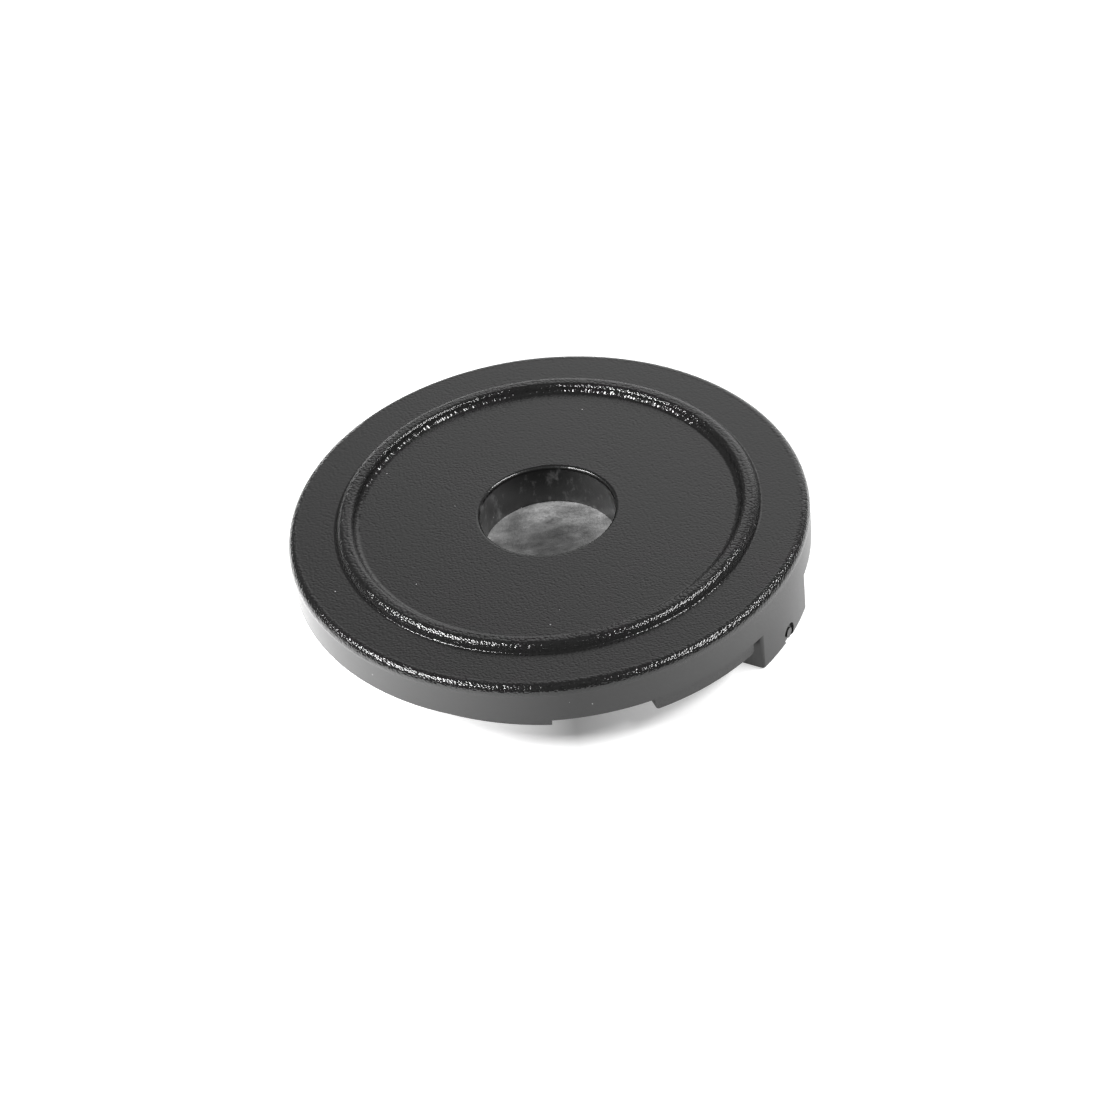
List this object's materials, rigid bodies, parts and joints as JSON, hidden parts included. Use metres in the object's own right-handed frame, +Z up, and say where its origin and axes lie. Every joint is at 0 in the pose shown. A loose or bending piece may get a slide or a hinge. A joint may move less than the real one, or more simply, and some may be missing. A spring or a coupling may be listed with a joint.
{
  "type": "security tag detacher",
  "caption": "Low round magnetic detacher with a central nest, a raised centring ring and two legs under a plain skirt, for freeing hard tags at a shop counter.",
  "frame": {"origin": "on the disc's axis at the level of the feet of the legs", "axes": "+Z up along the disc's axis out of the nest hole, -Y towards the person at the counter, +X to their right"},
  "size_m": [0.06, 0.06, 0.0108],
  "materials": {
    "cover_plastic": "black moulded ABS, fine spark-eroded texture on top, smoother on the walls",
    "base_plastic": "black moulded ABS, smooth",
    "carrier_nylon": "natural nylon, satin",
    "pad_foam": "thin closed-cell foam",
    "plated_steel": "zinc-plated mild steel",
    "pole_steel": "galvanised steel, matt and mottled",
    "magnet_nickel": "bright nickel plate over sintered magnet",
    "screw_steel": "zinc-plated countersunk self-tapping screws"
  },
  "bodies": {
    "root": {"top_cover": "cover_plastic", "base_plate": "base_plastic", "base_screws": "screw_steel", "pole_plate": "pole_steel", "yoke_plate": "plated_steel", "pole_ring": "plated_steel", "ring_magnet": "magnet_nickel", "magnet_carrier": "carrier_nylon", "foam_pad": "pad_foam", "arc_magnet_01": "magnet_nickel", "arc_magnet_02": "magnet_nickel", "arc_magnet_03": "magnet_nickel", "arc_magnet_04": "magnet_nickel", "arc_magnet_05": "magnet_nickel", "arc_magnet_06": "magnet_nickel", "arc_magnet_07": "magnet_nickel", "arc_magnet_08": "magnet_nickel", "arc_magnet_09": "magnet_nickel", "arc_magnet_10": "magnet_nickel", "arc_magnet_11": "magnet_nickel", "arc_magnet_12": "magnet_nickel"}
  },
  "joints": []
}
